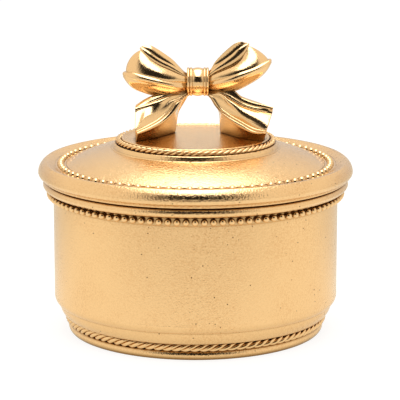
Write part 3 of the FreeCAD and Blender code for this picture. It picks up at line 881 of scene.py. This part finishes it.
@dataclass
class Linings:
    """Soft parts inside and under the box."""

    segments: int = 160
    # Pad on the floor and card in the lid: a rolled edge and a crown that sways a little
    pad_radius_mm: float = 51.1
    pad_low_mm: float = 11.0
    pad_high_mm: float = 13.2
    pad_fill: float = 0.85
    card_radius_mm: float = 48.4
    card_low_mm: float = 55.2
    card_high_mm: float = 57.2
    card_fill: float = 0.9
    hub_share: float = 0.02
    edge_share: float = 0.42
    back_rings: int = 14
    edge_rings: int = 9
    crown_rings: int = 26
    crown_power: int = 4
    sway_share: float = 0.0025
    sways: int = 7
    # Velvet round the wall: a strip with a turned top edge and faint ripples
    strip_radius_mm: float = 50.9
    strip_low_mm: float = 13.3
    strip_high_mm: float = 52.2
    strip_rings: int = 24
    hem_mm: float = 0.35
    hem_at_share: float = 0.97
    hem_width_share: float = 0.03
    ripple_mm: float = 0.12
    ripples: int = 11
    ripple_slant: float = 5.0
    # Felt under the floor: a disc with a hand-cut edge and a slight sag
    felt_radius_mm: float = 45.1
    felt_height_mm: float = 8.25
    felt_rings: int = 30
    snip_share: float = 0.002
    snips: int = 23
    sag_mm: float = 0.12
    sag_across_mm: float = 4.1
    sag_deep_mm: float = 3.3

    def turn(self, segments: int) -> np.ndarray:
        """Angles of points all the way round."""
        return np.linspace(0, FULL_TURN, segments, endpoint=False)

    def cushion(self, radius: float, low: float, high: float, crown_up: bool) -> tuple[np.ndarray, list]:
        """A crowned round pad with a soft rolled edge and a flat back.

        Args:
            radius: Its radius in millimetres.
            low: Its lowest height.
            high: Its highest height.
            crown_up: Whether the crowned side is the upper one.

        Returns:
            Points and faces.
        """
        thick = high - low
        edge = thick * self.edge_share
        flat = radius - edge
        roll = np.linspace(-math.pi / 2, math.pi / 2, self.edge_rings)[1:]
        outline = [(share * flat, 0.0) for share in np.linspace(self.hub_share, 1, self.back_rings)]
        outline += [(flat + edge * math.cos(angle), edge + edge * math.sin(angle)) for angle in roll]
        outline += [(share * flat, 2 * edge + (thick - 2 * edge) * (1 - share ** self.crown_power))
                    for share in np.linspace(1 - self.hub_share, self.hub_share, self.crown_rings)]
        turn = self.turn(self.segments)
        rows = []
        for out, rise in outline:
            sway = 1 + self.sway_share * np.sin(self.sways * turn + out) * (rise > edge)
            rows.append(ring_row(out * sway, turn, low + rise if crown_up else high - rise))
        faces = quads(len(rows), self.segments, False, True)
        faces.append(tuple(range(self.segments))[::-1])
        last = (len(rows) - 1) * self.segments
        faces.append(tuple(range(last, last + self.segments)))
        if not crown_up:
            faces = [face[::-1] for face in faces]
        return np.concatenate(rows), faces

    def floor_pad(self, velvet: Material) -> None:
        """Lays the velvet pad on the floor.

        Args:
            velvet: Its finish.
        """
        points, faces = self.cushion(self.pad_radius_mm, self.pad_low_mm, self.pad_high_mm, True)
        pad = new_piece("floor_pad_velvet", points, faces, velvet, Body.BOX, "floor_pad")

    def lid_card(self, velvet: Material) -> None:
        """Sets the velvet-covered card in the lid's hollow.

        Args:
            velvet: Its finish.
        """
        points, faces = self.cushion(self.card_radius_mm, self.card_low_mm, self.card_high_mm, False)
        card = new_piece("lid_card_velvet", points, faces, velvet, Body.LID, "lid_lining")

    def wall_strip(self, velvet: Material) -> None:
        """Glues the velvet strip round the wall, with its top edge turned under.

        Args:
            velvet: Its finish.
        """
        turn = self.turn(2 * self.segments)
        tall = self.strip_high_mm - self.strip_low_mm
        rows = []
        for share in np.linspace(0, 1, self.strip_rings):
            hem = self.hem_mm * math.exp(-((share - self.hem_at_share) / self.hem_width_share) ** 2)
            ripple = self.ripple_mm * np.sin(self.ripples * turn + self.ripple_slant * share)
            out = self.strip_radius_mm - hem - ripple * math.sin(math.pi * share)
            rows.append(ring_row(out, turn, self.strip_low_mm + share * tall))
        faces = [face[::-1] for face in quads(len(rows), len(turn), False, True)]
        strip = new_piece("wall_lining_velvet", np.concatenate(rows), faces, velvet, Body.BOX,
                          "wall_lining")

    def base_disc(self, felt: Material) -> None:
        """Lays the felt disc under the floor.

        Args:
            felt: Its finish.
        """
        turn = self.turn(self.segments)
        rows = []
        for share in np.linspace(self.hub_share, 1, self.felt_rings):
            snip = self.snip_share * np.sin(self.snips * turn) * (share == 1)
            out = share * self.felt_radius_mm * (1 + snip)
            across, deep = out * np.cos(turn), out * np.sin(turn)
            sag = self.sag_mm * np.sin(across / self.sag_across_mm) * np.cos(deep / self.sag_deep_mm)
            rows.append(ring_row(out, turn, self.felt_height_mm + sag))
        faces = [face[::-1] for face in quads(len(rows), self.segments, False, True)]
        faces.append(tuple(range(self.segments))[::-1])
        disc = new_piece("base_felt_disc", np.concatenate(rows), faces, felt, Body.BOX,
                         "base_felt")

    def build(self, velvet: Material, felt: Material) -> None:
        """Makes the pad, the lid's card, the wall lining and the felt.

        Args:
            velvet: Finish of the linings.
            felt: Finish of the base.
        """
        self.floor_pad(velvet)
        self.lid_card(velvet)
        self.wall_strip(velvet)
        self.base_disc(felt)


@dataclass(frozen=True)
class TablePaper:
    """Matt white table paper: even white to the eye; in metal, a painted glow dimmer to front and back."""

    name: str = "paper_white_matt"
    pulp: str = "B9B9B9"
    pulp_fleck: str = "BEBEBD"
    flecks_per_mm: float = 1.2
    # Paper as the camera sees it, and as metal shows it
    camera_shade: str = "7C7C7C"
    mirror_shade: str = "9A9A9A"
    mirror_hue: str = "FFF6E0"
    camera_level: float = 0.87
    # Painted glow from the front of the table to the object, and its share from there to the back
    front_span_mm: Span = (-215.0, -75.0)
    front_levels: Span = (0.49, 0.66)
    back_span_mm: Span = (25.0, 150.0)
    back_shares: Span = (1.0, 0.68)

    def light(self, tree: Tree, place: Socket) -> Socket:
        """Painted light: the paper's glow as metal shows it.

        Args:
            tree: The material's tree.
            place: Coordinates in millimetres.

        Returns:
            Its strength.
        """
        ahead = add_node(tree, "ShaderNodeSeparateXYZ", {"Vector": place})
        start, full = self.front_span_mm
        low, high = self.front_levels
        rise = add_node(tree, "ShaderNodeMapRange", {
            "Value": ahead.outputs["Y"], "From Min": start, "From Max": full, "To Min": low,
            "To Max": high}, interpolation_type="SMOOTHSTEP")
        start, full = self.back_span_mm
        near, far = self.back_shares
        fall = add_node(tree, "ShaderNodeMapRange", {
            "Value": ahead.outputs["Y"], "From Min": start, "From Max": full, "To Min": near,
            "To Max": far})
        lit = add_node(tree, "ShaderNodeMath", {
            0: rise.outputs["Result"], 1: fall.outputs["Result"]}, operation="MULTIPLY")
        return lit.outputs["Value"]

    def material(self) -> Material:
        """Builds the node material.

        Returns:
            The table's material.
        """
        material, tree, place = new_material(self.name)
        path = add_node(tree, "ShaderNodeLightPath")
        camera = path.outputs["Is Camera Ray"]
        fibre = add_node(tree, "ShaderNodeTexNoise", {
            "Vector": place, "Scale": self.flecks_per_mm, "Detail": 3.0})
        tone = add_node(tree, "ShaderNodeMix", {
            0: fibre.outputs["Fac"], 6: linear(self.pulp), 7: linear(self.pulp_fleck)}, data_type="RGBA")
        paper = add_node(tree, "ShaderNodeBsdfDiffuse", {"Color": tone.outputs[2]})
        # Painted light: the glow's strength, graded in metal and even to the camera
        level = add_node(tree, "ShaderNodeMix", {
            0: camera, 2: self.light(tree, place), 3: self.camera_level})
        hue = add_node(tree, "ShaderNodeMix", {
            0: camera, 6: linear(self.mirror_hue), 7: WHITE}, data_type="RGBA")
        shade_tone = add_node(tree, "ShaderNodeMix", {
            0: camera, 6: linear(self.mirror_shade), 7: linear(self.camera_shade)}, data_type="RGBA")
        shade = add_node(tree, "ShaderNodeBsdfDiffuse", {"Color": shade_tone.outputs[2]})
        glow = add_node(tree, "ShaderNodeEmission", {"Color": hue.outputs[2], "Strength": level.outputs[0]})
        white = add_node(tree, "ShaderNodeAddShader", {
            0: shade.outputs["BSDF"], 1: glow.outputs["Emission"]})
        total = add_node(tree, "ShaderNodeMath", {
            0: camera, 1: path.outputs["Is Glossy Ray"]}, operation="ADD")
        seen = add_node(tree, "ShaderNodeMath", {
            0: total.outputs["Value"], 1: path.outputs["Is Transmission Ray"]}, operation="ADD",
            use_clamp=True)
        mixed = add_node(tree, "ShaderNodeMixShader", {
            0: seen.outputs["Value"], 1: paper.outputs["BSDF"], 2: white.outputs["Shader"]})
        add_node(tree, "ShaderNodeOutputMaterial", {"Surface": mixed.outputs["Shader"]})
        return material


@dataclass
class Studio:
    """White table, overhead softbox, pale surroundings and a camera, in metres and degrees."""

    camera_distance: float = 0.784
    camera_height: float = 0.2178
    aim_height: float = 0.0495
    aim_side: float = 0.0017
    lens_mm: float = 188.24
    sensor_mm: float = 36.0
    clip_start: float = 0.01
    table_radius: float = 1.1
    table_ring_shares: tuple[float, ...] = (0.15, 0.4, 0.7, 1.0)
    table_segments: int = 96
    softbox_size: tuple[float, float] = (0.46, 0.94)
    softbox_middle: tuple[float, float, float] = (0.0, -0.03, 0.74)
    softbox_watts: float = 3.6
    # Unlit patch of room on the side that the camera stands on, with soft edges, in linear light
    room_low: float = 3.0
    room_high: float = 57.0
    room_half_width: float = 36.0
    room_soft: float = 5.0
    room_side_soft: float = 25.0
    room_dark: Colour = (0.022, 0.019, 0.016, 1.0)
    # Warm white walls in linear light, and their duller tone low down behind the object
    wall: Colour = (1.03, 0.93, 0.78, 1.0)
    dim_wall: str = "E6DCD2"
    dim_behind_span: Span = (0.3, 0.8)
    dim_height_span: Span = (0.42, 0.24)

    def build(self) -> None:
        """Sets up the surroundings, the table, the softbox and the camera."""
        self.surroundings()
        self.table()
        self.softbox()
        self.camera()
        bpy.context.scene.view_settings.view_transform = "Standard"

    def surroundings(self) -> None:
        """Lights the world: white in the camera, warm walls and the unlit patch of room elsewhere."""
        world = bpy.data.worlds.new("white_studio")
        bpy.context.scene.world = world
        world.use_nodes = True
        tree = world.node_tree
        tree.nodes.clear()
        place = add_node(tree, "ShaderNodeTexCoord")
        axes = add_node(tree, "ShaderNodeSeparateXYZ", {"Vector": place.outputs["Generated"]})
        camera = add_node(tree, "ShaderNodeLightPath").outputs["Is Camera Ray"]
        seen = add_node(tree, "ShaderNodeMath", {0: 1.0, 1: camera}, operation="SUBTRACT")
        room = add_node(tree, "ShaderNodeMath", {
            0: self.unlit(tree, axes), 1: seen.outputs["Value"]}, operation="MULTIPLY")
        start, full = self.dim_behind_span
        behind = add_node(tree, "ShaderNodeMapRange", {
            "Value": axes.outputs["Y"], "From Min": start, "From Max": full},
            interpolation_type="SMOOTHSTEP")
        start, full = self.dim_height_span
        low = add_node(tree, "ShaderNodeMapRange", {
            "Value": axes.outputs["Z"], "From Min": start, "From Max": full},
            interpolation_type="SMOOTHSTEP")
        far = add_node(tree, "ShaderNodeMath", {
            0: behind.outputs["Result"], 1: low.outputs["Result"]}, operation="MULTIPLY")
        walls = add_node(tree, "ShaderNodeMix", {
            0: far.outputs["Value"], 6: self.wall, 7: linear(self.dim_wall)}, data_type="RGBA")
        lit = add_node(tree, "ShaderNodeMix", {0: camera, 6: walls.outputs[2], 7: WHITE}, data_type="RGBA")
        tone = add_node(tree, "ShaderNodeMix", {
            0: room.outputs["Value"], 6: lit.outputs[2], 7: self.room_dark}, data_type="RGBA")
        light = add_node(tree, "ShaderNodeBackground", {"Color": tone.outputs[2], "Strength": 1.0})
        add_node(tree, "ShaderNodeOutputWorld", {"Surface": light.outputs["Background"]})

    def unlit(self, tree: Tree, axes: bpy.types.Node) -> Socket:
        """Marks the patch of room that is unlit.

        Args:
            tree: The world's tree.
            axes: A direction, split into its axes.

        Returns:
            1 in the patch and 0 outside it.
        """
        front = add_node(tree, "ShaderNodeMath", {0: axes.outputs["Y"], 1: -1.0}, operation="MULTIPLY")
        side = add_node(tree, "ShaderNodeMath", {
            0: axes.outputs["X"], 1: front.outputs["Value"]}, operation="ARCTAN2")
        off = add_node(tree, "ShaderNodeMath", {0: side.outputs["Value"]}, operation="ABSOLUTE")
        lift = add_node(tree, "ShaderNodeMath", {0: axes.outputs["Z"]}, operation="ARCSINE")
        edges = (
            (lift.outputs["Value"], self.room_low, self.room_soft),
            (lift.outputs["Value"], self.room_high, -self.room_soft),
            (off.outputs["Value"], self.room_half_width, -self.room_side_soft),
        )
        patch = None
        for value, edge, fade in edges:
            step = add_node(tree, "ShaderNodeMapRange", {
                "Value": value, "From Min": math.radians(edge - fade / 2),
                "From Max": math.radians(edge + fade / 2)}, interpolation_type="SMOOTHSTEP")
            inside = step.outputs["Result"]
            if patch is not None:
                both = add_node(tree, "ShaderNodeMath", {0: patch, 1: inside}, operation="MULTIPLY")
                inside = both.outputs["Value"]
            patch = inside
        return patch

    def table(self) -> None:
        """A round white table top that keeps the object's shadow."""
        turn = np.linspace(0, FULL_TURN, self.table_segments, endpoint=False)
        rows = [ring_row(self.table_radius * share, turn, 0.0) for share in self.table_ring_shares]
        faces = [face[::-1] for face in quads(len(rows), self.table_segments, False, True)]
        faces.append(tuple(range(self.table_segments)))
        mesh = bpy.data.meshes.new("table")
        mesh.from_pydata(np.concatenate(rows).tolist(), [], faces)
        mesh.materials.append(TablePaper().material())
        table = bpy.data.objects.new("table", mesh)
        bpy.context.scene.collection.objects.link(table)

    def softbox(self) -> None:
        """Hangs the softbox over the table."""
        lamp = bpy.data.lights.new("softbox", "AREA")
        lamp.shape = "RECTANGLE"
        lamp.size, lamp.size_y = self.softbox_size
        lamp.energy = self.softbox_watts
        softbox = bpy.data.objects.new("softbox", lamp)
        softbox.location = self.softbox_middle
        bpy.context.scene.collection.objects.link(softbox)

    def camera(self) -> None:
        """Stands the camera in front, looking a little down."""
        data = bpy.data.cameras.new("camera")
        data.lens = self.lens_mm
        data.sensor_width = self.sensor_mm
        data.clip_start = self.clip_start
        camera = bpy.data.objects.new("camera", data)
        camera.location = (self.aim_side, -self.camera_distance, self.camera_height)
        aim = Vector((self.aim_side, 0.0, self.aim_height)) - camera.location
        camera.rotation_euler = aim.to_track_quat("-Z", "Y").to_euler()
        bpy.context.scene.collection.objects.link(camera)
        bpy.context.scene.camera = camera


def main() -> None:
    """Builds and dresses every piece in order."""
    logging.basicConfig(level=logging.INFO, format="%(name)s: %(message)s")
    beads = BEAD_WIRE.material()
    wire = ROPE_WIRE.material()
    Bow().build(POLISHED.material())
    Drum().build(SATIN.material(), beads, wire)
    Lid().build(COARSE.material(), beads, wire, ZincSteel().material())
    Linings().build(CottonVelvet().material(), WoolFelt().material())
    Studio().build()


if __name__ == "__main__":
    main()
